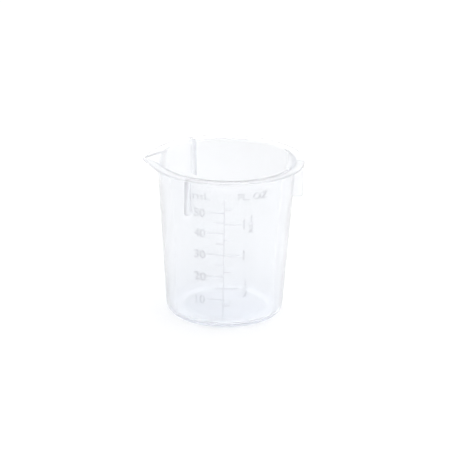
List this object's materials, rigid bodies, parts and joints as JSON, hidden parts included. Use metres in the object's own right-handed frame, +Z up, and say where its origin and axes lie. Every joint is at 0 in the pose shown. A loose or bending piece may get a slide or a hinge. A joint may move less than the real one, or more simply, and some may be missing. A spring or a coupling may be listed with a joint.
{
  "type": "graduated plastic beaker",
  "caption": "Small tapered translucent plastic beaker with a flat rim flange, a pinched pouring spout, stacking ribs under the rim and a raised dual volume scale.",
  "frame": {"origin": "on the plane the beaker stands on, at the middle of the footprint's box; the cup's own axis is 1.02 mm to the +X side, because the spout reaches past the rim on the -X side only", "axes": "+Z up, parallel to the cup's axis; -X towards the spout; -Y towards the graduation scale"},
  "size_m": [0.0538, 0.0518, 0.0532],
  "materials": {
    "natural_polypropylene": "translucent natural polypropylene, slightly bluish, satin moulded skin",
    "raised_marks": "the same polypropylene in raised relief, fine matt texture"
  },
  "bodies": {
    "root": {"vessel": "natural_polypropylene", "stacking_rib_right": "natural_polypropylene", "stacking_rib_back": "natural_polypropylene", "stacking_rib_front": "natural_polypropylene", "graduation_scale": "raised_marks"}
  },
  "joints": []
}
